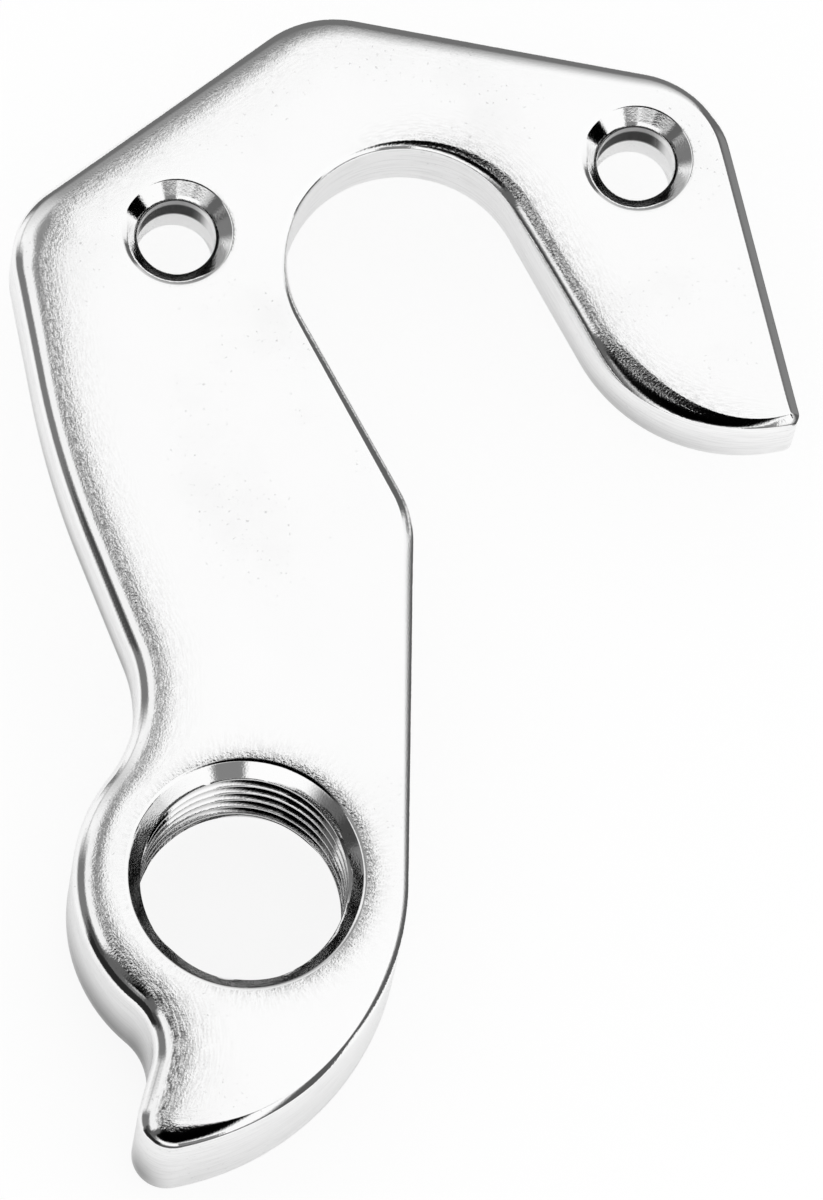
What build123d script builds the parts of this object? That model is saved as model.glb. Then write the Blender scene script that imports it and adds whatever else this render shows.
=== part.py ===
from build123d import *
from math import cos, radians, sin, tan
import os

# Bicycle derailleur hanger: a hook-shaped aluminium plate with a thick round boss for the derailleur's bolt.
# The plate lies in the XY plane and +Z is its outer side, where the derailleur is screwed on.
# The origin is on the bolt's axis, level with the face that bears on the frame. Lengths are in millimetres.

# Thicknesses: the boss and the tab stand out behind the plate by the step
plate_thickness = 4.0
boss_step = 3.0
boss_root_radius = 0.5

# Derailleur bolt: a fine metric thread, bored to its minor diameter, with a wider chamfer at the front
thread_diameter = 10.0
thread_pitch = 1.0
thread_depth_per_pitch = 0.5413
front_chamfer_margin = 0.1
back_chamfer_margin = -0.1
chamfer_angle = 90.0

# Wheel axle slot, placed from the bolt's axis, its mouth turned from straight down towards +X
axle_x = 7.51
axle_y = 27.72
axle_diameter = 10.0
axle_clearance = 0.55
slot_angle = 27.5
slot_front_wall = 12.25

# Two countersunk screws that hold the plate on the frame, placed from the axle
screw_spacing = 20.4
screw_line_angle = 9.85
screw_middle_x = 0.02
screw_middle_y = 3.09
screw_hole_diameter = 3.4
screw_head_diameter = 4.85
screw_head_angle = 90.0

# Boss, and the arm that joins it to the hook, its right edge a little inside the boss's rim
boss_radius = 7.4
arm_inset = 0.4
arm_lean = 1.9
arm_corner_radius = 4.5

# Necks on the boss's left side, where the edges of arm and tab run in under its rim
neck_inset = 1.0
upper_neck_angle = 119.2
upper_neck_radius = 6.0
lower_neck_angle = 238.5
lower_neck_radius = 2.6

# Stop tab under the boss: one long curve from the arm's right edge to the tip, and a straight left edge
tab_curve_radius = 12.25
tab_curve_turn = 90.0
tab_tip_radius = 1.5

# Hook corners and their rounding, placed from the axle
shoulder_x, shoulder_y, shoulder_radius = -17.56, 2.14, 4.0
crest_x, crest_y, crest_radius = -4.14, 11.98, 5.0
brow_x, brow_y, brow_radius = 13.46, 8.59, 4.5
tip_x, tip_y = 16.97, -7.2
flank_x, flank_y, flank_radius = -15.64, -8.87, 40.0
mouth_radius = 7.8

# Rolled front edges: wide round the outside of the hook, narrow along the slot and the arm;
# the narrow one runs on down the hook's tip
outer_roll = 1.5
slot_roll = 0.5

# Sizes that follow from those above
bore_radius = thread_diameter / 2 - thread_depth_per_pitch * thread_pitch
boss_thickness = boss_step + plate_thickness
slot_radius = (axle_diameter + axle_clearance) / 2
axle = Vector(axle_x, axle_y)
slot_way = Vector(sin(radians(slot_angle)), -cos(radians(slot_angle)))
slot_side = Vector(-slot_way.Y, slot_way.X)
slot_end = axle - slot_way * slot_radius
screw_middle = axle + Vector(screw_middle_x, screw_middle_y)
screw_reach = Vector(cos(radians(screw_line_angle)), sin(radians(screw_line_angle))) * (screw_spacing / 2)
hook_crest = axle + Vector(crest_x, crest_y)
arm_way = Vector(sin(radians(arm_lean)), cos(radians(arm_lean)))


def crossing(point, way, other_point, other_way):
    """Where two lines meet, each given by a point and a direction."""
    gap = other_point - point
    return point + way * (gap.cross(other_way).Z / way.cross(other_way).Z)


def from_bolt(radius, angle):
    return Vector(cos(radians(angle)), sin(radians(angle))) * radius


def hook_outline():
    """Hook, arm and tab in one contour, with the axle slot, and with sharp corners at the two tips."""
    front_wall = axle + slot_side * slot_radius
    back_wall = axle - slot_side * slot_radius
    tab_centre = Vector(boss_radius - arm_inset - tab_curve_radius, 0)
    tab_curve = CenterArc(tab_centre, tab_curve_radius, -tab_curve_turn, tab_curve_turn - arm_lean)
    arm_foot = tab_curve @ 1
    arm_corner = crossing(arm_foot, arm_way, back_wall, slot_way)
    corners = [
        (front_wall + slot_way * slot_front_wall, mouth_radius),
        (axle + Vector(tip_x, tip_y), 0),
        (axle + Vector(brow_x, brow_y), brow_radius),
        (hook_crest, crest_radius),
        (axle + Vector(shoulder_x, shoulder_y), shoulder_radius),
        (axle + Vector(flank_x, flank_y), flank_radius),
        (from_bolt(boss_radius - neck_inset, upper_neck_angle), 0),
        (from_bolt(boss_radius - neck_inset, lower_neck_angle), 0),
    ]
    points = [front_wall] + [point for point, radius in corners] + [tab_curve @ 0]
    hook = FilletPolyline(*points, radius=[radius for point, radius in corners])
    arm = FilletPolyline(arm_foot, arm_corner, back_wall, radius=[arm_corner_radius])
    round_end = ThreePointArc(back_wall, slot_end, front_wall)
    return make_face([hook, tab_curve, arm, round_end])


def corner_near(shape, point):
    return shape.vertices().sort_by_distance(point)[0]


def front_outline():
    """The contour with the boss's bulge on its left side and the two necks beside the bulge rounded."""
    left_half = Rectangle(boss_radius, 2 * boss_radius, align=(Align.MAX, Align.CENTER))
    shape = hook_outline() + (Circle(boss_radius) & left_half)
    shape = fillet(corner_near(shape, from_bolt(boss_radius, upper_neck_angle)), upper_neck_radius)
    return fillet(corner_near(shape, from_bolt(boss_radius, lower_neck_angle)), lower_neck_radius)


def tab_scrap(outline):
    """What rounding takes off the sharp tip of the tab."""
    tab_tip = outline.vertices().sort_by(Axis.Y)[0]
    return outline - fillet(tab_tip, tab_tip_radius)


def front_edge_near(solid, point):
    front = solid.faces().sort_by(Axis.Z)[-1]
    return front.outer_wire().edges().sort_by_distance(point + Vector(0, 0, plate_thickness))[0]


def boss_back(outline):
    """What stands out behind the plate: boss and tab, the boss with a hollow rounding round its root."""
    root_radius = boss_radius + boss_root_radius
    root = Cylinder(root_radius, boss_root_radius, align=(Align.CENTER, Align.CENTER, Align.MAX))
    root -= Pos(0, 0, -boss_root_radius) * Torus(root_radius, boss_root_radius)
    lower_half = Rectangle(2 * tab_curve_radius, 2 * tab_curve_radius, align=(Align.CENTER, Align.MAX))
    stand_out = extrude(outline & (Circle(boss_radius) + lower_half), -boss_step)
    return stand_out + (root & extrude(outline, -boss_root_radius))


def hanger_blank():
    """Plate and boss with rolled front edges, before the holes."""
    outline = front_outline()
    blank = extrude(outline, plate_thickness) + boss_back(outline)
    blank = fillet(front_edge_near(blank, hook_crest), outer_roll)
    blank = fillet(front_edge_near(blank, slot_end), slot_roll)
    return blank - Pos(0, 0, -boss_step) * extrude(tab_scrap(outline), boss_thickness)


def countersink(hole_radius, rim_radius, angle):
    """Cone of the given full angle, from the hole's wall up to its rim at height 0."""
    depth = (rim_radius - hole_radius) / tan(radians(angle / 2))
    return Cone(hole_radius, rim_radius, depth, align=(Align.CENTER, Align.CENTER, Align.MAX))


def through_hole(radius):
    hole = Cylinder(radius, boss_thickness, align=(Align.CENTER, Align.CENTER, Align.MAX))
    return Pos(0, 0, plate_thickness) * hole


def thread_bore():
    """Bore at the thread's minor diameter, chamfered where the bolt goes in and where it comes out."""
    front_rim = thread_diameter / 2 + front_chamfer_margin
    back_rim = thread_diameter / 2 + back_chamfer_margin
    front = Pos(0, 0, plate_thickness) * countersink(bore_radius, front_rim, chamfer_angle)
    back = Pos(0, 0, boss_step) * countersink(bore_radius, back_rim, chamfer_angle)
    return through_hole(bore_radius) + front + mirror(back, Plane.XY)


def screw_hole(place):
    hole_radius = screw_hole_diameter / 2
    head = Pos(0, 0, plate_thickness) * countersink(hole_radius, screw_head_diameter / 2, screw_head_angle)
    return Pos(place.X, place.Y) * (through_hole(hole_radius) + head)


hanger = hanger_blank() - thread_bore()
hanger -= screw_hole(screw_middle - screw_reach)
hanger -= screw_hole(screw_middle + screw_reach)

os.makedirs("parts", exist_ok=True)
export_step(hanger, "parts/hanger.step")
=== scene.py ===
import math

import bmesh
import bpy
import numpy as np
from mathutils import Matrix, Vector
from mathutils.geometry import delaunay_2d_cdt


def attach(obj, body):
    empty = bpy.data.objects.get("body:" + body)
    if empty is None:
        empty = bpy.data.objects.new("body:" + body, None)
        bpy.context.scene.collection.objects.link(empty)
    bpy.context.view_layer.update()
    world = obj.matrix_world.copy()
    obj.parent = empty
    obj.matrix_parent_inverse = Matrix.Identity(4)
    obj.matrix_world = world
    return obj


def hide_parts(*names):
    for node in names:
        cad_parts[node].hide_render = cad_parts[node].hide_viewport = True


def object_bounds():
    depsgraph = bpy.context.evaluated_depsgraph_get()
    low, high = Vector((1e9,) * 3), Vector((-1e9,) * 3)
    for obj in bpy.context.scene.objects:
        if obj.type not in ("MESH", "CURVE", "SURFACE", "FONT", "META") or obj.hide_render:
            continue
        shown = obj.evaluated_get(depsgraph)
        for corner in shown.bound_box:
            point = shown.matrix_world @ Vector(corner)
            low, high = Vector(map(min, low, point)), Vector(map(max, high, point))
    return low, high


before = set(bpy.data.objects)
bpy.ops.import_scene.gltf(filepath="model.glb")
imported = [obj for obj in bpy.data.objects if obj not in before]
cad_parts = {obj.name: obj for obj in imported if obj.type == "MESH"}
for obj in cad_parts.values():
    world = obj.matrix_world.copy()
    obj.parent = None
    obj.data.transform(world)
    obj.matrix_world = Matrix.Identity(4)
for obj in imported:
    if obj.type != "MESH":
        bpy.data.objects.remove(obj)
cad_low, cad_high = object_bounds()

# Bicycle derailleur hanger in polished aluminium: one closed mesh in place of the solid, with the thread cut
# in its bore, on a white board inside a tent of soft light.

# Sizes of the solid, in millimetres, as in the part's source, with holes and thread by their radius;
# the hook's sharp tip is rounded a little
MM = 0.001
PLATE = 4.0
BOSS_STEP = 3.0
BOSS_ROOT = 0.5
THREAD_MAJOR = 5.0
THREAD_MINOR = 4.4587
PITCH = 1.0
FRONT_RIM = 5.1
BACK_RIM = 4.9
AXLE = np.array([7.51, 27.72])
SLOT_RADIUS = 5.275
SLOT_ANGLE = 27.5
SLOT_FRONT_WALL = 12.25
SCREW_MIDDLE = AXLE + np.array([0.02, 3.09])
SCREW_SPACING = 20.4
SCREW_LINE_ANGLE = 9.85
SCREW_HOLE = 1.7
SCREW_HEAD = 2.425
BOSS_RADIUS = 7.4
ARM_INSET = 0.4
ARM_LEAN = 1.9
ARM_CORNER = 4.5
NECK_INSET = 1.0
UPPER_NECK = (119.2, 6.0)
LOWER_NECK = (238.5, 2.6)
TAB_CURVE = 12.25
TAB_TIP = 1.5
SHOULDER = (AXLE + np.array([-17.56, 2.14]), 4.0)
CREST = (AXLE + np.array([-4.14, 11.98]), 5.0)
BROW = (AXLE + np.array([13.46, 8.59]), 4.5)
TIP = (AXLE + np.array([16.97, -7.2]), 0.5)
FLANK = (AXLE + np.array([-15.64, -8.87]), 40.0)
MOUTH_RADIUS = 7.8

# The contour is drawn in by a hair so that it stays within the solid's facets; its back edge is broken
TUCK = 0.006
BACK_BREAK = 0.15

# Spacing of the points along the contour, and close to the step behind the boss
LINE_STEP = 0.25
ARC_STEP = 0.2
ARC_TURN = math.radians(4.0)
FINE_STEP = 0.04
STEP_SLACK = 0.999
STEP_WALL = BOSS_RADIUS + 0.01
STEP_NEAR = (BOSS_RADIUS - 0.1, BOSS_RADIUS + BOSS_ROOT + 0.2)
SAME_PLACE = 1e-6


def unit(v):
    return v / np.linalg.norm(v)


def left(v):
    return np.array([-v[1], v[0]])


def right(v):
    return np.array([v[1], -v[0]])


def polar(radius, degrees):
    return radius * np.array([math.cos(math.radians(degrees)), math.sin(math.radians(degrees))])


def cross(a, b):
    return a[0] * b[1] - a[1] * b[0]


def crossing(point, way, other, other_way):
    return point + way * (cross(other - point, other_way) / cross(way, other_way))


def angle_of(v):
    return math.atan2(v[1], v[0])


def corner_arc(before, corner, after, radius):
    """Arc (centre, radius, first angle, turn) that rounds a corner between two straight lines."""
    way_in = unit(corner - before)
    way_out = unit(after - corner)
    turn = math.atan2(cross(way_in, way_out), way_in @ way_out)
    start = corner - way_in * (radius * math.tan(abs(turn) / 2))
    centre = start + left(way_in) * math.copysign(radius, turn)
    return centre, radius, angle_of(start - centre), turn


def along_line_at(point, way, middle, distance):
    """Both places on a line that lie at a distance from a middle point, nearest end first."""
    gap = point - middle
    b = way @ gap
    root = math.sqrt(b * b - gap @ gap + distance * distance)
    return -b - root, -b + root


def arc_between(centre, radius, start, end, turns_left):
    """Arc round a centre from one point to another, the short way in the given sense."""
    first = angle_of(start - centre)
    turn = angle_of(end - centre) - first
    full = 2 * math.pi
    turn = turn % full if turns_left else -((-turn) % full)
    return centre, radius, first, turn


def outline_arcs():
    """The contour's arcs by name, in order, with the material on the left; straight lines join them."""
    way = np.array([math.sin(math.radians(SLOT_ANGLE)), -math.cos(math.radians(SLOT_ANGLE))])
    side = left(way)
    front_wall = AXLE + side * SLOT_RADIUS
    back_wall = AXLE - side * SLOT_RADIUS
    mouth = front_wall + way * SLOT_FRONT_WALL
    origin = np.zeros(2)
    upper_root = polar(BOSS_RADIUS - NECK_INSET, UPPER_NECK[0])
    lower_root = polar(BOSS_RADIUS - NECK_INSET, LOWER_NECK[0])
    tab_centre = np.array([BOSS_RADIUS - ARM_INSET - TAB_CURVE, 0.0])
    tab_corner = tab_centre + np.array([0.0, -TAB_CURVE])
    arm_foot = tab_centre + polar(TAB_CURVE, -ARM_LEAN)
    arm_way = np.array([math.sin(math.radians(ARM_LEAN)), math.cos(math.radians(ARM_LEAN))])
    arm_corner = crossing(arm_foot, arm_way, back_wall, way)

    arcs = {}
    arcs["mouth"] = corner_arc(front_wall, mouth, TIP[0], MOUTH_RADIUS)
    arcs["tip"] = corner_arc(mouth, TIP[0], BROW[0], TIP[1])
    arcs["brow"] = corner_arc(TIP[0], BROW[0], CREST[0], BROW[1])
    arcs["crest"] = corner_arc(BROW[0], CREST[0], SHOULDER[0], CREST[1])
    arcs["shoulder"] = corner_arc(CREST[0], SHOULDER[0], FLANK[0], SHOULDER[1])
    arcs["flank"] = corner_arc(SHOULDER[0], FLANK[0], upper_root, FLANK[1])

    # Hollow necks, each tangent to a straight edge and to the boss
    down = unit(upper_root - FLANK[0])
    radius = UPPER_NECK[1]
    reach = along_line_at(FLANK[0] + right(down) * radius, down, origin, BOSS_RADIUS + radius)[0]
    upper_centre = FLANK[0] + right(down) * radius + down * reach
    upper_touch = upper_centre * (BOSS_RADIUS / (BOSS_RADIUS + radius))
    arcs["upper_neck"] = arc_between(upper_centre, radius, FLANK[0] + down * reach, upper_touch, False)

    tab_way = unit(tab_corner - lower_root)
    radius = LOWER_NECK[1]
    reach = along_line_at(lower_root + right(tab_way) * radius, tab_way, origin, BOSS_RADIUS + radius)[1]
    lower_centre = lower_root + right(tab_way) * radius + tab_way * reach
    lower_touch = lower_centre * (BOSS_RADIUS / (BOSS_RADIUS + radius))
    arcs["boss"] = arc_between(origin, BOSS_RADIUS, upper_touch, lower_touch, True)
    arcs["lower_neck"] = arc_between(lower_centre, radius, lower_touch, lower_root + tab_way * reach, False)

    # Rounded tab tip between the straight left edge and the long curve
    reach = along_line_at(lower_root + left(tab_way) * TAB_TIP, tab_way, tab_centre, TAB_CURVE - TAB_TIP)[1]
    tip_centre = lower_root + left(tab_way) * TAB_TIP + tab_way * reach
    tip_touch = tab_centre + unit(tip_centre - tab_centre) * TAB_CURVE
    arcs["tab_tip"] = arc_between(tip_centre, TAB_TIP, lower_root + tab_way * reach, tip_touch, True)
    arcs["tab_curve"] = arc_between(tab_centre, TAB_CURVE, tip_touch, arm_foot, True)
    arcs["arm_corner"] = corner_arc(arm_foot, arm_corner, back_wall, ARM_CORNER)
    arcs["slot_end"] = arc_between(AXLE, SLOT_RADIUS, back_wall, front_wall, False)
    return arcs


# Width, depth, fullness and grain of the rolled front edge at even stations along each arc of the contour.
# The lines go evenly from one arc to the next. A fullness of 2 is round, more is softer at the face, and
# near 1 is a bevel. The grain is how rough the roll is where it runs out into the face.
ROLL = {
    "mouth": (
        (1.1, 1.0, 2.2, 0.8),
        (1.15, 0.8, 1.3, 0.7),
        (1.0, 0.64, 1.2, 0.65),
        (0.7, 0.42, 1.15, 0.5),
        (0.42, 0.26, 1.15, 0.2),
        (0.32, 0.26, 1.15, 0.0),
    ),
    "tip": ((0.32, 0.4, 1.1, 0.0), (0.46, 0.46, 1.1, 0.0)),
    "brow": ((0.46, 0.46, 1.1, 0.0), (0.7, 0.9, 1.5, 0.0), (1.1, 1.4, 2.0, 0.0)),
    "crest": ((1.4, 1.5, 2.0, 0.2), (1.6, 1.5, 2.2, 0.45)),
    "shoulder": ((1.8, 1.5, 2.4, 0.6), (3.3, 1.5, 3.0, 0.65), (2.3, 1.4, 2.8, 0.75)),
    "flank": ((1.75, 1.4, 2.8, 0.75), (1.75, 1.4, 2.6, 0.7)),
    "upper_neck": ((1.75, 1.4, 2.5, 0.65), (1.65, 1.4, 2.4, 0.45)),
    "boss": ((1.6, 1.4, 2.4, 0.3), (1.6, 1.4, 2.4, 0.35), (1.6, 1.4, 2.4, 1.1)),
    "lower_neck": ((1.4, 1.4, 2.4, 1.4), (1.8, 1.4, 2.4, 1.3)),
    "tab_tip": ((1.9, 1.3, 2.2, 1.0), (1.4, 0.7, 1.8, 0.9), (1.1, 0.5, 1.7, 0.3)),
    "tab_curve": (
        (1.0, 0.45, 1.7, 0.2),
        (0.5, 0.3, 1.4, 0.0),
        (0.26, 0.3, 1.1, 0.0),
        (0.22, 0.34, 1.1, 0.0),
        (0.22, 0.36, 1.1, 0.0),
        (0.24, 0.35, 1.1, 0.0),
        (0.26, 0.33, 1.1, 0.0),
        (0.27, 0.3, 1.1, 0.0),
        (0.28, 0.28, 1.1, 0.0),
    ),
    "arm_corner": ((0.46, 0.42, 1.1, 0.0), (0.42, 0.3, 1.1, 0.0)),
    "slot_end": (
        (0.32, 0.25, 1.1, 0.0),
        (0.22, 0.25, 1.6, 0.0),
        (0.24, 0.27, 1.6, 0.0),
        (0.42, 0.3, 1.25, 0.5),
        (0.8, 0.56, 1.3, 0.8),
    ),
}

# Distance along the contour over which the roll's sizes run into each other, and rows of points up the roll
ROLL_BLUR = 0.6
ROLL_ROWS = 14


def segments():
    """Lines and arcs in order: each with its kind, data, length and roll stations."""
    arcs = list(outline_arcs().items())

    def ends(arc):
        centre, radius, first, turn = arc
        return [centre + radius * np.array([math.cos(a), math.sin(a)]) for a in (first, first + turn)]

    pieces = []
    for i, (name, arc) in enumerate(arcs):
        previous_name, previous = arcs[i - 1]
        start, end = ends(previous)[1], ends(arc)[0]
        length = np.linalg.norm(end - start)
        if length > SAME_PLACE:
            pieces.append(("line", (start, end), length, (ROLL[previous_name][-1], ROLL[name][0])))
        pieces.append(("arc", arc, arc[1] * abs(arc[3]), ROLL[name]))
    return pieces


def place_on(piece, share):
    """Point and outward normal at a share of a line or arc."""
    kind, data = piece[0], piece[1]
    if kind == "line":
        start, end = data
        return start + (end - start) * share, right(unit(end - start))
    centre, radius, first, turn = data
    angle = first + turn * share
    radial = np.array([math.cos(angle), math.sin(angle)])
    return centre + radial * radius, radial * math.copysign(1, turn)


def back_height(x, y):
    """Height of the back: the plate at 0, and boss and tab lower by the step, with a rounded root."""
    radius = np.hypot(x, y)
    foot = STEP_WALL + BOSS_ROOT
    height = np.zeros_like(radius)
    root = (radius >= STEP_WALL) & (radius < foot)
    height[root] = -BOSS_ROOT + np.sqrt(np.maximum(BOSS_ROOT**2 - (foot - radius[root]) ** 2, 0))
    steep = (radius >= BOSS_RADIUS) & (radius < STEP_WALL)
    low = -BOSS_STEP + BACK_BREAK
    height[steep] = low + (-BOSS_ROOT - low) * (radius[steep] - BOSS_RADIUS) / (STEP_WALL - BOSS_RADIUS)
    rim = (radius >= BOSS_RADIUS - BACK_BREAK) & (radius < BOSS_RADIUS)
    reach = (radius[rim] - (BOSS_RADIUS - BACK_BREAK)) / BACK_BREAK
    height[rim] = -BOSS_STEP + BACK_BREAK * (1 - np.sqrt(np.maximum(1 - reach**2, 0)))
    height[(radius < BOSS_RADIUS - BACK_BREAK) | (y < 0)] = -BOSS_STEP
    return height


def sample_outline():
    """Points, outward normals and roll sizes round the contour, closer together where the back steps."""
    points, normals, rolls = [], [], []
    for piece in segments():
        kind, data, length, roll = piece
        step = LINE_STEP if kind == "line" else min(ARC_STEP, data[1] * ARC_TURN)
        count = max(int(math.ceil(length / FINE_STEP)), 2)
        gone = math.inf
        for i in range(count):
            share = i / count
            point, normal = place_on(piece, share)
            point = point - normal * TUCK
            inner = point - normal * BACK_BREAK
            near_step = inner[1] > 0 and STEP_NEAR[0] < np.hypot(*inner) < STEP_NEAR[1]
            spacing = FINE_STEP if near_step else step
            gone += length / count
            if gone < spacing * STEP_SLACK:
                continue
            gone = 0.0
            points.append(point)
            normals.append(normal)
            stations = np.linspace(0, 1, len(roll))
            rolls.append([np.interp(share, stations, sizes) for sizes in zip(*roll)])
    points, normals, rolls = np.array(points), np.array(normals), np.array(rolls)
    first = np.linalg.norm(points - np.array([BOSS_RADIUS, BOSS_RADIUS]), axis=1).argmin()
    points, normals, rolls = (np.roll(values, -first, 0) for values in (points, normals, rolls))
    return points, normals, blur_along(points, rolls, ROLL_BLUR).T


def along(points):
    """Place of each point along a closed line."""
    gaps = np.linalg.norm(np.diff(points, axis=0), axis=1)
    return np.concatenate([[0], np.cumsum(gaps)])


def blur_along(points, values, reach):
    """Weighted mean of values round a closed line, over a distance along it."""
    gaps = np.linalg.norm(np.roll(points, -1, 0) - points, axis=1)
    place = along(points)
    total = gaps.sum()
    away = np.abs(place[:, None] - place[None, :])
    away = np.minimum(away, total - away)
    share = (gaps + np.roll(gaps, 1)) / 2
    weight = np.exp(-0.5 * (away / reach) ** 2) * share[None, :]
    return (weight @ values) / weight.sum(1, keepdims=True)


# Face worn down a little round the rim of the threaded hole, most on the side given in degrees from +X;
# the rings of points round the rim lie at the gaps
DIP_DEPTH = 0.055
DIP_SWING = 0.045
DIP_TOWARDS = 20.0
DIP_REACH = 0.3
RIM_FACE = FRONT_RIM + 0.09
RIM_GAPS = (0.03, 0.07, 0.12, 0.18, 0.25, 0.33, 0.42)


def dip_at(angle):
    return DIP_DEPTH + DIP_SWING * np.cos(angle - math.radians(DIP_TOWARDS))


def face_dip(x, y):
    away = np.maximum(np.hypot(x, y) - RIM_FACE, 0)
    return dip_at(np.arctan2(y, x)) * np.exp(-away / DIP_REACH)


# What the mesh tells the material at each vertex: single values, and coordinates
VALUE_NAMES = ("polish", "fringe", "wall", "foot", "groove")
VECTOR_NAMES = ("hair", "flow")


class Mesh:
    """Vertices and faces gathered from several patches, with values for the material at each vertex:
    polish: smooth as on the rolls and turned cuts; fringe: grainy as where a roll runs out into the face;
    wall: brushed side wall; foot: painted shade on the side wall near the back; groove: matt bottom of a
    cut, with painted shade; hair and flow: coordinates along and across the grain."""

    def __init__(self):
        self.vertices, self.faces, self.count = [], [], 0
        self.values = {name: [] for name in VALUE_NAMES + VECTOR_NAMES}

    def add(self, vertices, **values):
        """Takes in vertices with their values, and gives their numbers."""
        vertices = np.asarray(vertices, float)
        first, self.count = self.count, self.count + len(vertices)
        self.vertices.append(vertices)
        for name, patches in self.values.items():
            shape = (len(vertices), 3) if name in VECTOR_NAMES else (len(vertices),)
            patches.append(np.broadcast_to(np.asarray(values.get(name, 0.0), float), shape))
        return np.arange(first, self.count)

    def ring_strip(self, low, high, flip=False):
        """Quads between two closed rings with the same number of vertices."""
        after_low, after_high = np.roll(low, -1), np.roll(high, -1)
        quads = np.column_stack([low, after_low, after_high, high])
        self.faces.extend(map(tuple, quads[:, ::-1] if flip else quads))


# Triangulation keeps what lies inside the edges, and takes points closer than this for one
TRIANGLES_INSIDE = 1
TRIANGLE_MERGE = 1e-7


def triangulate(loops, extra, chains):
    """Flat triangles inside the first loop and outside the other, round loops.
    They take in the extra points and follow the chains."""
    points = [p for loop in loops for p in loop]
    loop_of = np.repeat(np.arange(len(loops)), [len(loop) for loop in loops])
    edges, first = [], 0
    for loop in loops:
        n = len(loop)
        edges += [(first + i, first + (i + 1) % n) for i in range(n)]
        first += n
    for chain in chains:
        n = len(chain)
        points += list(chain)
        edges += [(first + i, first + i + 1) for i in range(n - 1)]
        first += n
    points += list(extra)
    result = delaunay_2d_cdt([tuple(p) for p in points], edges, [], TRIANGLES_INSIDE, TRIANGLE_MERGE)
    triangles, origin = result[2], result[3]
    kept = []
    for triangle in triangles:
        if any(not origin[v] for v in triangle):
            raise RuntimeError("lines cross in a flat patch")
        corners = [origin[v][0] for v in triangle]
        on_loops = {loop_of[v] if v < len(loop_of) else 0 for v in corners}
        in_hole = len(on_loops) == 1 and 0 not in on_loops
        if not in_hole:
            kept.append(corners)
    return np.array(points), kept


def distance_to(points, loop):
    """Distance of points from a closed line, negative outside it."""
    a, b = loop, np.roll(loop, -1, 0)
    d = b - a
    result = np.empty(len(points))
    for i, p in enumerate(points):
        t = np.clip(((p - a) * d).sum(1) / (d * d).sum(1), 0, 1)
        gap = np.linalg.norm(a + d * t[:, None] - p, axis=1).min()
        above = (a[:, 1] > p[1]) != (b[:, 1] > p[1])
        cut = a[above, 0] + (p[1] - a[above, 1]) / d[above, 1] * d[above, 0]
        inside = (cut > p[0]).sum() % 2 == 1
        result[i] = gap if inside else -gap
    return result


# Gap between the rows of an even grid of triangles, as a share of its step
ROW_SPACING = 0.866


def grid(low, high, step):
    """Points in staggered rows over a box."""
    rows = []
    for j, y in enumerate(np.arange(low[1], high[1], step * ROW_SPACING)):
        xs = np.arange(low[0] + (j % 2) * step / 2, high[0], step)
        rows.append(np.column_stack([xs, np.full(len(xs), y)]))
    return np.concatenate(rows)


def circle(radius, count, middle=(0.0, 0.0)):
    angles = np.arange(count) * (2 * math.pi / count)
    return np.column_stack([np.cos(angles), np.sin(angles)]) * radius + np.asarray(middle)


def smooth_step(low, high, value):
    share = np.clip((value - low) / (high - low), 0, 1)
    return share * share * (3 - 2 * share)


def screw_places():
    reach = polar(SCREW_SPACING / 2, SCREW_LINE_ANGLE)
    return [SCREW_MIDDLE - reach, SCREW_MIDDLE + reach]


# Columns of points round the holes and round the step behind the boss
BORE_COLUMNS = 192
SCREW_COLUMNS = 96
STEP_COLUMNS = 400

# Grain, in turns per millimetre: short hairs across the fringe, and long streaks along the walls
HAIR_ALONG, HAIR_ACROSS = 2.4, 10.0
FLOW_ALONG, FLOW_UP = 0.5, 6.0

# Grainy fringe: where it starts and is full, as shares of the roll's width, and how fast it fades over the
# face; how strong it is round the threaded hole, and how fast it fades there
FRINGE_START, FRINGE_FULL, FRINGE_FADE = 0.38, 0.54, 0.55
WORN, WORN_FADE = 0.9, 0.34

# Polish of the roll: the shares of its width over which it gives way, and how soon the grain takes it all
POLISH_FADE = (0.3, 0.55)
POLISH_GRAIN = 2.0

# Painted shade darkening the foot of the walls: its share of their height, the side on which it is strongest,
# how closely it keeps to that side, its least strength, and the part of the hanger over which it fades
# towards the hook
FOOT_HEIGHT = 0.7
FOOT_TOWARDS = 208.0
FOOT_FOCUS = 3
FOOT_LEAST = 0.12
FOOT_FADE = (14.0, 34.0)

# Rows round the back edge: how far each is turned to the back, in degrees, and its share of the wall's finish
# and of the painted shade at the foot
BACK_ROWS = ((90.0, 0.0), (60.0, 0.5), (30.0, 1.0), (0.0, 1.0))

# Rows up the wall, as shares of its height, and the turn of the roll over which the wall's finish fades out
WALL_ROWS = (0.12, 0.25, 0.4, 0.55, 0.75)
WALL_FADE = (0.0, 0.5)


def hair_of_edge(place, inset):
    return np.column_stack([place * HAIR_ALONG, inset * HAIR_ACROSS, np.zeros(len(place))])


def hair_of_bore(points):
    radius = np.linalg.norm(points, axis=1, keepdims=True)
    return np.column_stack([points / radius * (RIM_FACE * HAIR_ACROSS), radius * HAIR_ALONG])


def worn_at(points):
    """How grainy the face is round the threaded hole, most where it is worn most."""
    away = np.maximum(np.linalg.norm(points, axis=1) - RIM_FACE, 0)
    share = dip_at(np.arctan2(points[:, 1], points[:, 0])) / (DIP_DEPTH + DIP_SWING)
    return WORN * share * np.exp(-away / WORN_FADE)


def fringe_of(inset, widths, grains):
    """How grainy the edge is: from the middle of the roll on, fading out over the face."""
    rise = smooth_step(FRINGE_START, FRINGE_FULL, inset / widths)
    return grains * rise * np.exp(-np.maximum(inset - FRINGE_FULL * widths, 0) / FRINGE_FADE)


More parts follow.
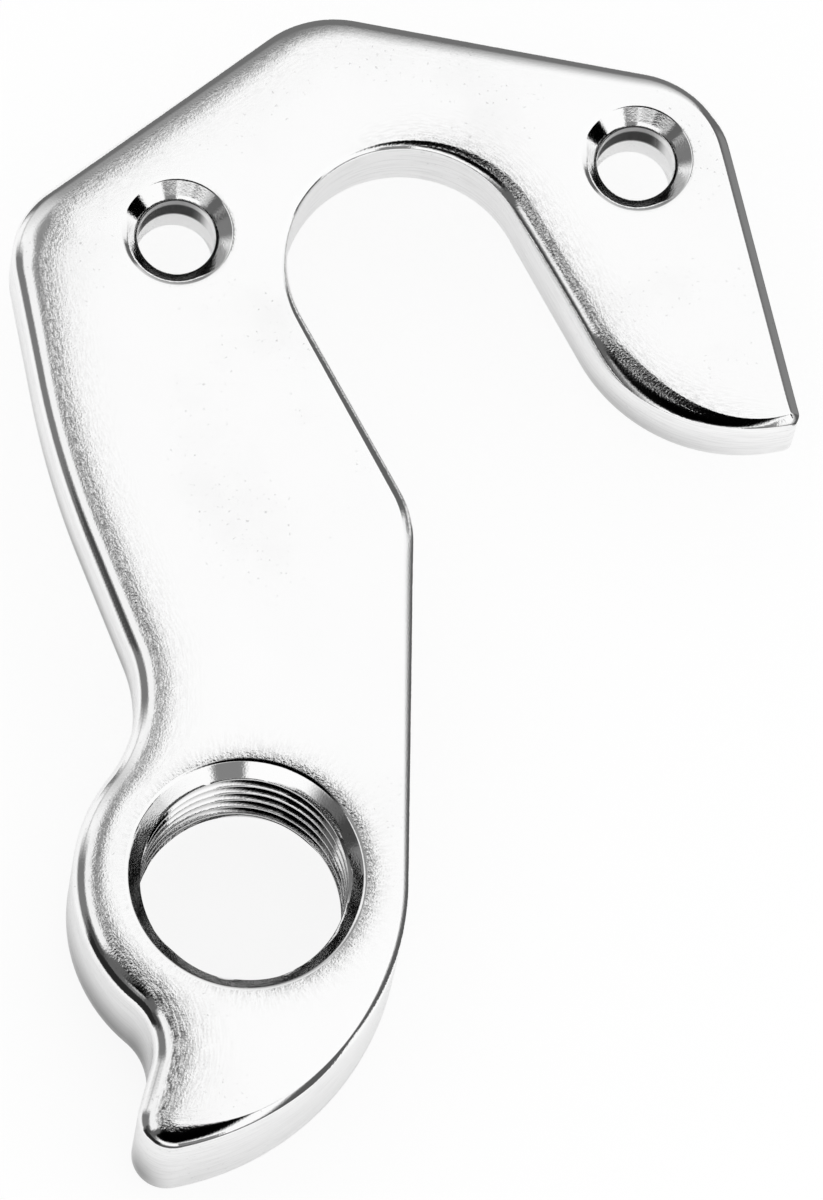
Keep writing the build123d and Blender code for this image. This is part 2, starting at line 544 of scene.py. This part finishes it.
def polish_of(inset, widths, grains):
    """How smooth the edge is: wholly on its outer side, and throughout where it has no grain."""
    return 1 - smooth_step(*POLISH_FADE, inset / widths) * np.clip(POLISH_GRAIN * grains, 0, 1)


def wall_and_roll(mesh):
    """The side wall with its broken back edge and rolled front edge.
    Gives the innermost back and front rings, and the contour with the roll's width and grain along it."""
    points, normals, (widths, depths, fullness, grains) = sample_outline()
    inner = points - normals * BACK_BREAK
    low = back_height(inner[:, 0], inner[:, 1])
    place = along(points)
    rows, rings = [], []

    # Strength of the painted shade at the walls' foot round the contour: most on one side, least elsewhere,
    # gone towards the hook
    facing = np.clip(normals @ polar(1.0, FOOT_TOWARDS), 0, 1) ** FOOT_FOCUS
    facing = (FOOT_LEAST + facing) * (1 - smooth_step(*FOOT_FADE, points[:, 1]))

    def row(inset, height, wall, foot=0.0):
        inset = np.broadcast_to(inset, (len(points),))
        rows.append(np.column_stack([points - normals * inset[:, None], height]))
        flow = np.column_stack([place * FLOW_ALONG, height * FLOW_UP, np.zeros(len(points))])
        hair = hair_of_edge(place, inset)
        values = {"wall": wall, "foot": foot * facing}
        values["polish"] = polish_of(inset, widths, grains)
        values["fringe"] = fringe_of(inset, widths, grains)
        rings.append(mesh.add(rows[-1], hair=hair, flow=flow, **values))

    for degrees, share in BACK_ROWS:
        beta = math.radians(degrees)
        row(BACK_BREAK * (1 - math.cos(beta)), low + BACK_BREAK * (1 - math.sin(beta)), share, share)
    bottom, top = low + BACK_BREAK, PLATE - depths
    for share in WALL_ROWS:
        row(0.0, bottom + (top - bottom) * share, 1.0, max(1 - share / FOOT_HEIGHT, 0.0))
    for phi in np.linspace(0, math.pi / 2, ROLL_ROWS + 1):
        u = max(math.cos(phi), 0.0) ** (2 / fullness)
        v = math.sin(phi) ** (2 / fullness)
        inset = widths * (1 - u)
        spot = points - normals * inset[:, None]
        height = PLATE - depths * (1 - v) - face_dip(spot[:, 0], spot[:, 1]) * v
        row(inset, height, 1.0 - smooth_step(*WALL_FADE, phi))
    for a, b in zip(rings, rings[1:]):
        mesh.ring_strip(a, b)
    return rows[0], rows[-1], points, widths, grains


# Thread: corners of its profile and rows of points as shares of the pitch, where the helix begins, turns laid
# below the back and in all beyond the bore's length, and the depths over which it grows in at the front and
# runs out at the back
THREAD_CORNERS = (0.0, 0.08, 0.44, 0.56, 0.92, 1.0)
THREAD_ROWS = (0.0, 0.07, 0.1, 0.21, 0.32, 0.425, 0.455, 0.545, 0.575, 0.68, 0.79, 0.9, 0.93)
THREAD_PHASE = 0.45
THREAD_BELOW = 1.5
THREAD_SPARE = 2
THREAD_START = (0.5, 0.8)
THREAD_END = (0.06, 0.4)

# Bore's chamfer at the front, and the softened rims of both ends
CHAMFER_SLOPE = math.tan(math.radians(47.0))
RIM_ROUND = 0.05
FRONT_RIM_DROP = 0.016
BACK_RIM_DROP = 0.008
BACK_RIM_FACE = BACK_RIM + 0.05


def thread_radius(share):
    """Radius of the internal thread at a share of its pitch: crest flat, flank, root flat, flank."""
    radii = (THREAD_MINOR, THREAD_MINOR, THREAD_MAJOR, THREAD_MAJOR, THREAD_MINOR, THREAD_MINOR)
    return np.interp(share % 1.0, THREAD_CORNERS, radii)


def threaded_bore(mesh):
    """Helical thread between the two chamfers; gives the rings where it meets the front and the back."""
    angles = np.arange(BORE_COLUMNS) * (2 * math.pi / BORE_COLUMNS)
    front = PLATE - dip_at(angles)
    top = front - RIM_ROUND
    back = -BOSS_STEP
    bottom = np.full(BORE_COLUMNS, back + RIM_ROUND)
    turns = int(math.ceil((PLATE + BOSS_STEP) / PITCH)) + THREAD_SPARE
    base = back + PITCH * (THREAD_PHASE - THREAD_BELOW)
    starts = [base + (k + share) * PITCH for k in range(turns + 1) for share in THREAD_ROWS]
    per_turn = len(THREAD_ROWS)
    lead = PITCH * angles / (2 * math.pi)

    def ring(radius, z):
        height = np.broadcast_to(z, angles.shape)
        return np.column_stack([np.cos(angles) * radius, np.sin(angles) * radius, height])

    rings = []
    for start in starts:
        z = np.clip(start + lead, bottom, top)
        share = (z - lead - base) / PITCH
        deep = smooth_step(*THREAD_START, front - z) * smooth_step(*THREAD_END, z + BOSS_STEP)
        radius = THREAD_MINOR + (thread_radius(share) - THREAD_MINOR) * deep
        chamfer = np.maximum(FRONT_RIM - (front - z) / CHAMFER_SLOPE, BACK_RIM - (z + BOSS_STEP))
        # Groove: how deep the thread's root is, which gets a matt finish and painted shade
        groove = np.clip((radius - THREAD_MINOR) / (THREAD_MAJOR - THREAD_MINOR), 0, 1) * (radius > chamfer)
        rings.append(mesh.add(ring(np.maximum(radius, chamfer), z), polish=1.0, groove=groove))
    last = len(rings) - 1
    for k in range(last):
        low, high = rings[k], rings[k + 1]
        next_low = np.append(low[1:], rings[min(k + per_turn, last)][0])
        next_high = np.append(high[1:], rings[min(k + 1 + per_turn, last)][0])
        mesh.faces.extend(zip(low, high, next_high, next_low))

    front_rows = [
        ring(FRONT_RIM - RIM_ROUND / CHAMFER_SLOPE, top),
        ring(FRONT_RIM, front - FRONT_RIM_DROP),
        ring(RIM_FACE, front),
    ]
    back_rows = [
        ring(BACK_RIM - RIM_ROUND, bottom),
        ring(BACK_RIM, back + BACK_RIM_DROP),
        ring(BACK_RIM_FACE, back),
    ]
    front_rings = [mesh.add(r, polish=1.0) for r in front_rows]
    for gap in RIM_GAPS:
        flat = circle(RIM_FACE + gap, BORE_COLUMNS)
        front_rows.append(np.column_stack([flat, PLATE - face_dip(flat[:, 0], flat[:, 1])]))
        front_rings.append(mesh.add(front_rows[-1], fringe=worn_at(flat), hair=hair_of_bore(flat)))
    back_rings = [mesh.add(r, polish=1.0) for r in back_rows]
    for laid, flip in ((front_rings, True), (back_rings, False)):
        for a, b in zip(laid, laid[1:]):
            mesh.ring_strip(a, b, flip)
    return front_rows[-1], back_rows[-1]


# Screws' cones: their slope, where the rim meets the face and the wall meets the back, the rim's broken edge,
# and the rows of points down the cone, as insets from its rim
SCREW_SLOPE = math.tan(math.radians(42.0))
SCREW_FACE = SCREW_HEAD + 0.04
SCREW_BACK = SCREW_HOLE + 0.08
SCREW_EDGE = 0.008
SCREW_FIRST = 0.015
SCREW_CONE_ROWS = (0.4, 0.55)

# Rim of the cones: how far in it is softened, least and most, and the side where it is worn most
SCREW_SOFT = (0.045, 0.3)
SCREW_WORN_TOWARDS = 235.0
SCREW_WORN_FADE = (0.1, 0.6)

# Foot of the cones, as radii beyond the hole and heights above the cone's end; heights of the rows down the
# wall; the broken back edge, as radius beyond the hole and height
SCREW_FOOT = ((0.03, 0.03 * SCREW_SLOPE), (0.006, -0.015), (0.0, -0.06))
SCREW_WALL_ROWS = (3.2, 2.8, 2.6, 1.7, 1.4, 0.1)
SCREW_BACK_EDGE = (0.02, 0.03)

# Rings of painted shade in the screw holes, which are also matt: heights and how strong the shade is at each,
# the side where it is strongest, its least share, and how it fades round the hole
SCREW_SHADE = ((1.4, 0.0), (1.7, 1.0), (2.6, 1.0), (2.8, 0.5), (3.2, 0.5), (3.29, 1.0))
SCREW_SHADE_TOWARDS = 105.0
SCREW_SHADE_LEAST = 0.2
SCREW_SHADE_FADE = (0.25, 0.85)


def screw_hole(mesh, middle):
    """Countersunk screw hole; gives its front and back rings."""
    depth = (SCREW_HEAD - SCREW_HOLE) * SCREW_SLOPE
    angles = np.arange(SCREW_COLUMNS) * (2 * math.pi / SCREW_COLUMNS)
    worn = smooth_step(*SCREW_WORN_FADE, np.cos(angles - math.radians(SCREW_WORN_TOWARDS)))
    soft = SCREW_SOFT[0] + (SCREW_SOFT[1] - SCREW_SOFT[0]) * worn
    profile = [(SCREW_FACE, PLATE), (SCREW_HEAD + SCREW_EDGE, PLATE - SCREW_EDGE)]
    for inset in (SCREW_FIRST, soft, *SCREW_CONE_ROWS):
        profile.append((SCREW_HEAD - inset, PLATE - inset * SCREW_SLOPE))
    profile += [(SCREW_HOLE + beyond, PLATE - depth + above) for beyond, above in SCREW_FOOT]
    profile += [(SCREW_HOLE, z) for z in SCREW_WALL_ROWS]
    profile += [(SCREW_HOLE + SCREW_BACK_EDGE[0], SCREW_BACK_EDGE[1]), (SCREW_BACK, 0.0)]
    rows = []
    for radius, z in profile:
        ring = middle + circle(1.0, SCREW_COLUMNS) * np.reshape(radius, (-1, 1))
        rows.append(np.column_stack([ring, np.broadcast_to(z, angles.shape)]))
    # Painted shade in rings down the holes' walls, strongest on one side; it also makes them matt
    heights = np.array([np.mean(z) for radius, z in profile])
    screw_shade = np.interp(heights, *zip(*SCREW_SHADE)) * (heights < PLATE - depth)
    side = np.cos(angles - math.radians(SCREW_SHADE_TOWARDS))
    around = SCREW_SHADE_LEAST + (1 - SCREW_SHADE_LEAST) * smooth_step(*SCREW_SHADE_FADE, side)
    laid = [mesh.add(ring, polish=1.0, groove=share * around) for ring, share in zip(rows, screw_shade)]
    for a, b in zip(laid, laid[1:]):
        mesh.ring_strip(a, b)
    return rows[0], rows[-1]


# Flat faces: spacing of their points, how far these keep from edges and holes, as shares of the spacing, and
# from the bore; the closer rings of points round the bore, the screws' cones and along the roll
FACE_GRID = 0.7
EDGE_CLEAR = 0.6
HOLE_CLEAR = 0.5
BORE_CLEAR = 1.7
BORE_RINGS = (0.56, 0.74, 0.98, 1.3)
SCREW_RING = 0.2
FACE_RIM = 0.1
FACE_RIM_CLEAR = 0.9
NEARER_WINS = 1e-6


def front_face(mesh, loop, bore_ring, screw_rings, edge, widths, grains):
    """The flat outer face between the rolled edge and the holes."""
    flat = loop[:, :2]
    spread = grid(flat.min(0), flat.max(0), FACE_GRID)
    extra = spread[distance_to(spread, flat) > FACE_GRID * EDGE_CLEAR]
    for middle in screw_places():
        extra = extra[np.linalg.norm(extra - middle, axis=1) > SCREW_FACE + FACE_GRID * HOLE_CLEAR]
    extra = extra[np.linalg.norm(extra, axis=1) > RIM_FACE + BORE_CLEAR]
    rings = [circle(RIM_FACE + gap, BORE_COLUMNS) for gap in BORE_RINGS]
    rings += [circle(SCREW_FACE + SCREW_RING, SCREW_COLUMNS // 2, middle) for middle in screw_places()]
    rings.append(flat + (flat - edge) / np.linalg.norm(flat - edge, axis=1, keepdims=True) * FACE_RIM)
    close = np.concatenate(rings)
    close = close[distance_to(close, flat) > FACE_RIM * FACE_RIM_CLEAR]
    extra = np.concatenate([extra, close])

    loops = [flat, bore_ring[:, :2]] + [ring[:, :2] for ring in screw_rings]
    points, triangles = triangulate(loops, extra, [])
    height = PLATE - face_dip(points[:, 0], points[:, 1])
    known = np.concatenate([loop, bore_ring] + screw_rings)
    height[: len(known)] = known[:, 2]
    gaps = np.linalg.norm(points[:, None, :] - edge[None, :, :], axis=2)
    strength = fringe_of(gaps, widths[None, :], grains[None, :])
    nearest = (strength - gaps * NEARER_WINS).argmax(1)
    rows = np.arange(len(points))
    inset = gaps[rows, nearest]
    fringe = strength[rows, nearest]
    worn = worn_at(points)
    polish = np.zeros(len(points))
    polish[: len(loop)] = polish_of(widths, widths, grains)
    near_bore = (worn > fringe)[:, None]
    hair = np.where(near_bore, hair_of_bore(points), hair_of_edge(along(edge)[nearest], inset))
    values = {"fringe": np.maximum(fringe, worn), "polish": polish, "hair": hair}
    laid = mesh.add(np.column_stack([points, height]), **values)
    mesh.faces.extend(tuple(laid[i] for i in t) for t in triangles)


# Back: points kept clear of the step and of the bore, and the rings of points round the step, as insets of
# the boss's rim, turns of its hollow root and one more beyond the root
STEP_MIDDLE = BOSS_RADIUS + 0.2
STEP_BAND = 0.75
STEP_BELOW = -0.3
BACK_BORE_CLEAR = 0.4
STEP_INSETS = (BACK_BREAK, 0.1, 0.04, 0.0)
ROOT_TURNS = (18, 36, 54, 72, 90)
ROOT_BEYOND = 0.12
STEP_CLEAR = 0.02


def back_face(mesh, loop, bore_ring, screw_rings):
    """The plate's back, the boss's back and the rounded step between them."""
    flat = loop[:, :2]
    spread = grid(flat.min(0), flat.max(0), FACE_GRID)
    extra = spread[distance_to(spread, flat) > FACE_GRID * HOLE_CLEAR]
    for middle in screw_places():
        extra = extra[np.linalg.norm(extra - middle, axis=1) > SCREW_BACK + FACE_GRID * HOLE_CLEAR]
    radii = np.linalg.norm(extra, axis=1)
    near_step = (np.abs(radii - STEP_MIDDLE) < STEP_BAND) & (extra[:, 1] > STEP_BELOW)
    extra = extra[(radii > BACK_RIM + BACK_BORE_CLEAR) & ~near_step]
    step_radii = [BOSS_RADIUS - inset for inset in STEP_INSETS] + [STEP_WALL]
    step_radii += [STEP_WALL + BOSS_ROOT * (1 - math.cos(math.radians(turn))) for turn in ROOT_TURNS]
    step_radii.append(STEP_WALL + BOSS_ROOT + ROOT_BEYOND)
    chains = []
    for radius in step_radii:
        ring = circle(radius, STEP_COLUMNS)
        ring = ring[ring[:, 1] > SAME_PLACE]
        inside = distance_to(ring, flat) > STEP_CLEAR
        breaks = np.flatnonzero(np.diff(inside)) + 1
        runs = zip(np.split(ring, breaks), np.split(inside, breaks))
        chains += [run for run, good in runs if good[0] and len(run) > 1]

    loops = [flat, bore_ring[:, :2]] + [ring[:, :2] for ring in screw_rings]
    points, triangles = triangulate(loops, extra, chains)
    height = back_height(points[:, 0], points[:, 1])
    known = np.concatenate([loop, bore_ring] + screw_rings)
    height[: len(known)] = known[:, 2]
    laid = mesh.add(np.column_stack([points, height]))
    mesh.faces.extend(tuple(laid[i] for i in t[::-1]) for t in triangles)


# Points of two patches that are closer than this, in metres, become one; edges sharper than this stay sharp
WELD = 2e-8
SHARP_ANGLE = math.radians(40)


def build_hanger():
    """The hanger as one closed mesh, with the finish's values at its points."""
    mesh = Mesh()
    back_loop, front_loop, edge, widths, grains = wall_and_roll(mesh)
    bore_front, bore_back = threaded_bore(mesh)
    screws = [screw_hole(mesh, middle) for middle in screw_places()]
    front_face(mesh, front_loop, bore_front, [front for front, back in screws], edge, widths, grains)
    back_face(mesh, back_loop, bore_back, [back for front, back in screws])

    vertices = np.concatenate(mesh.vertices) * MM
    data = bpy.data.meshes.new("hanger_body")
    data.from_pydata(vertices.tolist(), [], [[int(v) for v in face] for face in mesh.faces])
    for name, patches in mesh.values.items():
        values = np.concatenate(patches).astype(np.float32)
        kind, field = ("FLOAT", "value") if values.ndim == 1 else ("FLOAT_VECTOR", "vector")
        data.attributes.new(name, kind, "POINT").data.foreach_set(field, values.ravel())
    work = bmesh.new()
    work.from_mesh(data)
    bmesh.ops.remove_doubles(work, verts=work.verts, dist=WELD)
    work.to_mesh(data)
    work.free()
    data.shade_smooth()
    data.set_sharp_from_angle(angle=SHARP_ANGLE)
    piece = bpy.data.objects.new("hanger_body", data)
    bpy.context.scene.collection.objects.link(piece)
    return piece


def node(tree, kind, inputs=None, **settings):
    """New node with its settings, each input linked to a socket or set to a value."""
    made = tree.nodes.new(kind)
    for name, value in settings.items():
        setattr(made, name, value)
    for name, value in (inputs or {}).items():
        socket = made.inputs[name]
        if isinstance(value, bpy.types.NodeSocket):
            tree.links.new(value, socket)
        else:
            socket.default_value = value
    return made


def maths(tree, operation, *values):
    return node(tree, "ShaderNodeMath", dict(enumerate(values)), operation=operation).outputs[0]


def vector_maths(tree, operation, *values):
    return node(tree, "ShaderNodeVectorMath", dict(enumerate(values)), operation=operation).outputs


def ramp(tree, value, stops):
    """Grey ramp through (place, grey) stops."""
    made = node(tree, "ShaderNodeValToRGB", {"Fac": value})
    elements = made.color_ramp.elements
    while len(elements) < len(stops):
        elements.new(0.5)
    for element, (place, grey) in zip(elements, stops):
        element.position = place
        element.color = (grey, grey, grey, 1)
    return made.outputs["Color"]


# Noises of the finish: turns per millimetre, or per unit along the hairs and streaks, and detail
CLOUD_NOISE = {"Scale": 0.16, "Detail": 4.0}
GRAIN_NOISE = {"Scale": 11.0, "Detail": 2.0}
HAIR_NOISE = {"Scale": 1.0, "Detail": 2.0}
STREAK_NOISE = {"Scale": 1.0, "Detail": 3.0}
PIT_NOISE = {"Scale": 5.0, "Detail": 4.0}

# Tones, as (noise, grey) stops: faint clouds, and sparse dark pits where the clouds are thick; speckle in the
# fringe, from grain and hairs; streaked walls
CLOUD_TONE = ((0.3, 0.94), (0.45, 0.975), (0.7, 0.985))
PITTED_CLOUD = ((0.4, 0.5), (0.52, 0.0))
PIT_TONE = ((0.64, 1.0), (0.72, 0.5))
SPECKLE_HAIRS = 0.65
SPECKLE_TONE = ((0.4, 0.15), (0.56, 1.0))
SPECKLE_SHARE = 0.95
STREAK_TONE = ((0.35, 0.9), (0.55, 1.0))
# Dark tone of the painted shade at the foot of the walls
FOOT_SHADE_TONE = (0.05, 0.05, 0.051, 1)

# Grooves: how strong their painted shade and how matt they are by depth, and the painted shade's tone
GROOVE_SHADE = ((0.15, 0.0), (0.65, 0.97))
GROOVE_MATT = ((0.6, 0.0), (0.95, 0.97))
GROOVE_SHADE_TONE = (0.01, 0.01, 0.0105, 1)

# Roughness of the satin face, least and most, of the polished rolls and cuts, and of matt grooves
FACE_ROUGH = {"To Min": 0.07, "To Max": 0.17}
POLISH_ROUGH = 0.06
MATT_ROUGH = 0.6

# Relief of the brushed walls and of the grain: strength, and height in metres
BRUSHED_STRENGTH, BRUSHED_HEIGHT = 0.2, 0.00005
GRAIN_STRENGTH = {"To Min": 0.08, "To Max": 0.55}
POLISH_STRENGTH = 0.03
GRAIN_HEIGHT = 0.00012


def aluminium():
    """Bright tumbled aluminium: fine grain, strongest where the rolls run out, and smooth cuts."""
    material = bpy.data.materials.new("polished_aluminium")
    material.use_nodes = True
    tree = material.node_tree
    shader = tree.nodes["Principled BSDF"]
    place = node(tree, "ShaderNodeTexCoord").outputs["Object"]
    spot = node(tree, "ShaderNodeVectorMath", {0: place, "Scale": 1 / MM}, operation="SCALE").outputs[0]

    def attribute(name, output):
        return node(tree, "ShaderNodeAttribute", attribute_name=name).outputs[output]

    def noise(where, sizes):
        return node(tree, "ShaderNodeTexNoise", {"Vector": where, **sizes}).outputs["Fac"]

    def product(a, b):
        return maths(tree, "MULTIPLY", a, b)

    def spread(value, levels):
        return node(tree, "ShaderNodeMapRange", {"Value": value, **levels}).outputs["Result"]

    def mix(share, a, b):
        return node(tree, "ShaderNodeMix", {"Factor": share, "A": a, "B": b}).outputs["Result"]

    def shaded(share, tone, over, blend="MULTIPLY"):
        inputs = {"Fac": share, "Color1": tone, "Color2": over}
        return node(tree, "ShaderNodeMixRGB", inputs, blend_type=blend).outputs[0]

    polish, fringe, wall, foot, groove = (attribute(name, "Fac") for name in VALUE_NAMES)
    hair, flow = (attribute(name, "Vector") for name in VECTOR_NAMES)
    cloud = noise(spot, CLOUD_NOISE)
    grain = noise(spot, GRAIN_NOISE)
    hairs = noise(hair, HAIR_NOISE)
    streaks = noise(flow, STREAK_NOISE)
    pits = noise(spot, PIT_NOISE)

    # Tone: clouds and pits on the face, speckle in the fringe, streaked walls with painted shade at their
    # foot, painted shade in the grooves
    tone = ramp(tree, cloud, CLOUD_TONE)
    tone = shaded(ramp(tree, cloud, PITTED_CLOUD), tone, ramp(tree, pits, PIT_TONE))
    speckle = ramp(tree, mix(SPECKLE_HAIRS, grain, hairs), SPECKLE_TONE)
    tone = shaded(product(fringe, SPECKLE_SHARE), tone, speckle)
    tone = shaded(wall, tone, ramp(tree, streaks, STREAK_TONE))
    tone = shaded(foot, tone, FOOT_SHADE_TONE)
    tone = shaded(ramp(tree, groove, GROOVE_SHADE), tone, GROOVE_SHADE_TONE, "MIX")
    tree.links.new(tone, shader.inputs["Base Color"])
    shader.inputs["Metallic"].default_value = 1.0

    # Sheen: satin face, smoother rolls and turned cuts, matt grooves
    rough = mix(polish, spread(grain, FACE_ROUGH), POLISH_ROUGH)
    rough = mix(ramp(tree, groove, GROOVE_MATT), rough, MATT_ROUGH)
    tree.links.new(rough, shader.inputs["Roughness"])

    # Relief: brushed walls, and fine grain with short hairs where the rolls run out
    inputs = {"Height": streaks, "Strength": product(wall, BRUSHED_STRENGTH), "Distance": BRUSHED_HEIGHT}
    brushed = node(tree, "ShaderNodeBump", inputs).outputs["Normal"]
    strength = mix(polish, spread(fringe, GRAIN_STRENGTH), POLISH_STRENGTH)
    height = maths(tree, "ADD", grain, product(hairs, fringe))
    inputs = {"Height": height, "Strength": strength, "Distance": GRAIN_HEIGHT, "Normal": brushed}
    bump = node(tree, "ShaderNodeBump", inputs)
    tree.links.new(bump.outputs["Normal"], shader.inputs["Normal"])
    return material


# White tent, by direction from the part in degrees round it from +X and up from level.
# Each patch: middle round and up, half-width, half-height, softness of its edge, light from it.
TENT_RADIUS = 1.2
TENT_SEGMENTS, TENT_RINGS = 64, 32
TENT_PATCHES = (
    (0.0, -48.0, 200.0, 50.0, 8.0, 0.1),
    (75.0, -30.0, 32.0, 48.0, 40.0, 0.17),
    (105.0, -10.0, 18.0, 53.0, 28.0, 0.17),
    (172.0, 57.0, 60.0, 16.0, 7.0, 0.27),
    (175.0, -36.0, 45.0, 36.0, 5.0, 0.95),
    (187.0, 2.0, 36.0, 22.0, 8.0, 0.19),
    (163.0, 37.0, 30.0, 13.0, 4.0, 0.92),
    (-157.0, 36.0, 9.0, 26.0, 3.0, 0.12),
    (-133.0, 44.0, 18.0, 18.0, 3.0, 0.002),
    (-150.0, -12.0, 26.0, 20.0, 4.0, 0.02),
    (-171.0, 8.0, 9.0, 8.0, 3.0, 0.06),
    (30.0, -8.0, 10.0, 15.0, 3.0, 0.22),
    (42.0, 9.0, 12.0, 12.0, 4.0, 0.12),
    (-15.0, 16.5, 13.0, 9.5, 2.0, 0.0),
    (-76.0, 10.0, 11.0, 17.0, 2.0, 0.22),
)

# Round dark opening for the camera: middle round and up, half-width, softness of its edge, light from it
CAMERA_PATCH = (-103.0, 58.0, 30.0, 5.0, 0.0)


def tent():
    """White tent round the part, with the darker openings where the camera and the room beyond it are."""
    bpy.ops.mesh.primitive_uv_sphere_add(segments=TENT_SEGMENTS, ring_count=TENT_RINGS, radius=TENT_RADIUS)
    made = bpy.context.object
    made.name = "tent"
    material = bpy.data.materials.new("tent")
    material.use_nodes = True
    tree = material.node_tree
    tree.nodes.clear()
    place = node(tree, "ShaderNodeTexCoord").outputs["Object"]
    way = vector_maths(tree, "NORMALIZE", place)[0]
    flattened = vector_maths(tree, "MULTIPLY", way, (1.0, 1.0, 0.0))[0]
    level = vector_maths(tree, "NORMALIZE", flattened)[0]
    height = maths(tree, "ARCSINE", node(tree, "ShaderNodeSeparateXYZ", {"Vector": way}).outputs["Z"])

    def away_from(vector, target):
        return maths(tree, "ARCCOSINE", vector_maths(tree, "DOT_PRODUCT", vector, target)["Value"])

    def within(angle, half, soft):
        span = {"From Min": math.radians(half - soft), "From Max": math.radians(half + soft)}
        levels = {"To Min": 1.0, "To Max": 0.0}
        inputs = {"Value": angle, **span, **levels}
        return node(tree, "ShaderNodeMapRange", inputs, interpolation_type="SMOOTHSTEP").outputs["Result"]

    def over(light, share, value):
        inputs = {"Fac": share, "Color1": light, "Color2": (value, value, value, 1)}
        return node(tree, "ShaderNodeMixRGB", inputs).outputs[0]

    light = (1, 1, 1, 1)
    for turn, up, half_turn, half_up, soft, value in TENT_PATCHES:
        sideways = within(away_from(level, (*polar(1.0, turn), 0.0)), half_turn, soft)
        gap = maths(tree, "ABSOLUTE", maths(tree, "SUBTRACT", height, math.radians(up)))
        share = maths(tree, "MULTIPLY", sideways, within(gap, half_up, soft))
        light = over(light, share, value)
    turn, up, half, soft, value = CAMERA_PATCH
    target = (*(polar(1.0, turn) * math.cos(math.radians(up))), math.sin(math.radians(up)))
    light = over(light, within(away_from(way, target), half, soft), value)
    shine = node(tree, "ShaderNodeEmission", {"Color": light, "Strength": 1.0})
    out = node(tree, "ShaderNodeOutputMaterial")
    tree.links.new(shine.outputs[0], out.inputs["Surface"])
    made.data.materials.append(material)
    made.visible_camera = False
    made.visible_diffuse = False
    made.visible_shadow = False
    made.visible_transmission = False


# White board: its margin round the part and the hair's breadth under it, in metres, and how much of it is
# plain white, seen straight and mirrored in the part
FLOOR_MARGIN = 0.004
FLOOR_GAP = 0.00002
FLOOR_WHITE = 0.88
FLOOR_MIRRORED = 0.3


def floor():
    """White board under the part, mostly plain white when seen straight, with the part's faint shadow."""
    across, length = cad_high.x - cad_low.x, cad_high.y - cad_low.y
    middle = ((cad_high.x + cad_low.x) / 2, (cad_high.y + cad_low.y) / 2, cad_low.z - FLOOR_GAP)
    bpy.ops.mesh.primitive_plane_add(size=1.0, location=middle)
    board = bpy.context.object
    board.name = "floor"
    board.scale = (across + 2 * FLOOR_MARGIN, length + 2 * FLOOR_MARGIN, 1)
    material = bpy.data.materials.new("floor")
    material.use_nodes = True
    tree = material.node_tree
    tree.nodes.clear()
    rays = node(tree, "ShaderNodeLightPath").outputs
    straight = maths(tree, "MULTIPLY", rays["Is Camera Ray"], FLOOR_WHITE)
    mirrored = maths(tree, "MAXIMUM", rays["Is Glossy Ray"], rays["Is Transmission Ray"])
    share = maths(tree, "MAXIMUM", straight, maths(tree, "MULTIPLY", mirrored, FLOOR_MIRRORED))
    lit = node(tree, "ShaderNodeBsdfDiffuse", {"Color": (1, 1, 1, 1)})
    white = node(tree, "ShaderNodeEmission", {"Color": (1, 1, 1, 1), "Strength": 1.0})
    mixed = node(tree, "ShaderNodeMixShader", {0: share, 1: lit.outputs[0], 2: white.outputs[0]})
    out = node(tree, "ShaderNodeOutputMaterial")
    tree.links.new(mixed.outputs[0], out.inputs["Surface"])
    board.data.materials.append(material)


def studio():
    scene = bpy.context.scene
    scene.view_settings.view_transform = "Standard"
    world = bpy.data.worlds.new("studio")
    world.use_nodes = True
    background = world.node_tree.nodes["Background"]
    background.inputs["Color"].default_value = (1, 1, 1, 1)
    background.inputs["Strength"].default_value = 1.0
    scene.world = world
    floor()
    tent()


# Camera, fitted to the photograph: where it looks from, its roll, and the bolt's place in the frame
FRAME_WIDTH, FRAME_HEIGHT = 823, 1200
AZIMUTH, ELEVATION, TILT = -13.0, 71.6, 12.5
DISTANCE = 600.0
PIXELS_PER_MM = 23.4
ANCHOR = np.array([0.0, 0.0, 4.0])
ANCHOR_PIXEL = (246.0, 873.5)
SENSOR_WIDTH = 36.0
CLIP_START, CLIP_END = 0.01, 10.0


def camera():
    turn, rise, tilt = (math.radians(angle) for angle in (AZIMUTH, ELEVATION, TILT))
    back = np.array([math.sin(turn) * math.cos(rise), -math.cos(turn) * math.cos(rise), math.sin(rise)])
    level = np.array([math.cos(turn), math.sin(turn), 0.0])
    upright = np.cross(back, level)
    across = math.cos(tilt) * level + math.sin(tilt) * upright
    up = -math.sin(tilt) * level + math.cos(tilt) * upright
    dx = (ANCHOR_PIXEL[0] - FRAME_WIDTH / 2) / PIXELS_PER_MM
    dy = -(ANCHOR_PIXEL[1] - FRAME_HEIGHT / 2) / PIXELS_PER_MM
    place = (ANCHOR + back * DISTANCE - across * dx - up * dy) * MM
    data = bpy.data.cameras.new("camera")
    data.sensor_width = SENSOR_WIDTH
    data.lens = PIXELS_PER_MM * DISTANCE / FRAME_HEIGHT * SENSOR_WIDTH
    data.clip_start = CLIP_START
    data.clip_end = CLIP_END
    made = bpy.data.objects.new("camera", data)
    made.matrix_world = Matrix(
        [
            [across[0], up[0], back[0], place[0]],
            [across[1], up[1], back[1], place[1]],
            [across[2], up[2], back[2], place[2]],
            [0, 0, 0, 1],
        ]
    )
    bpy.context.scene.collection.objects.link(made)
    bpy.context.scene.camera = made


hanger = build_hanger()
hanger.data.materials.append(aluminium())
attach(hanger, "root")
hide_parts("hanger")
studio()
camera()
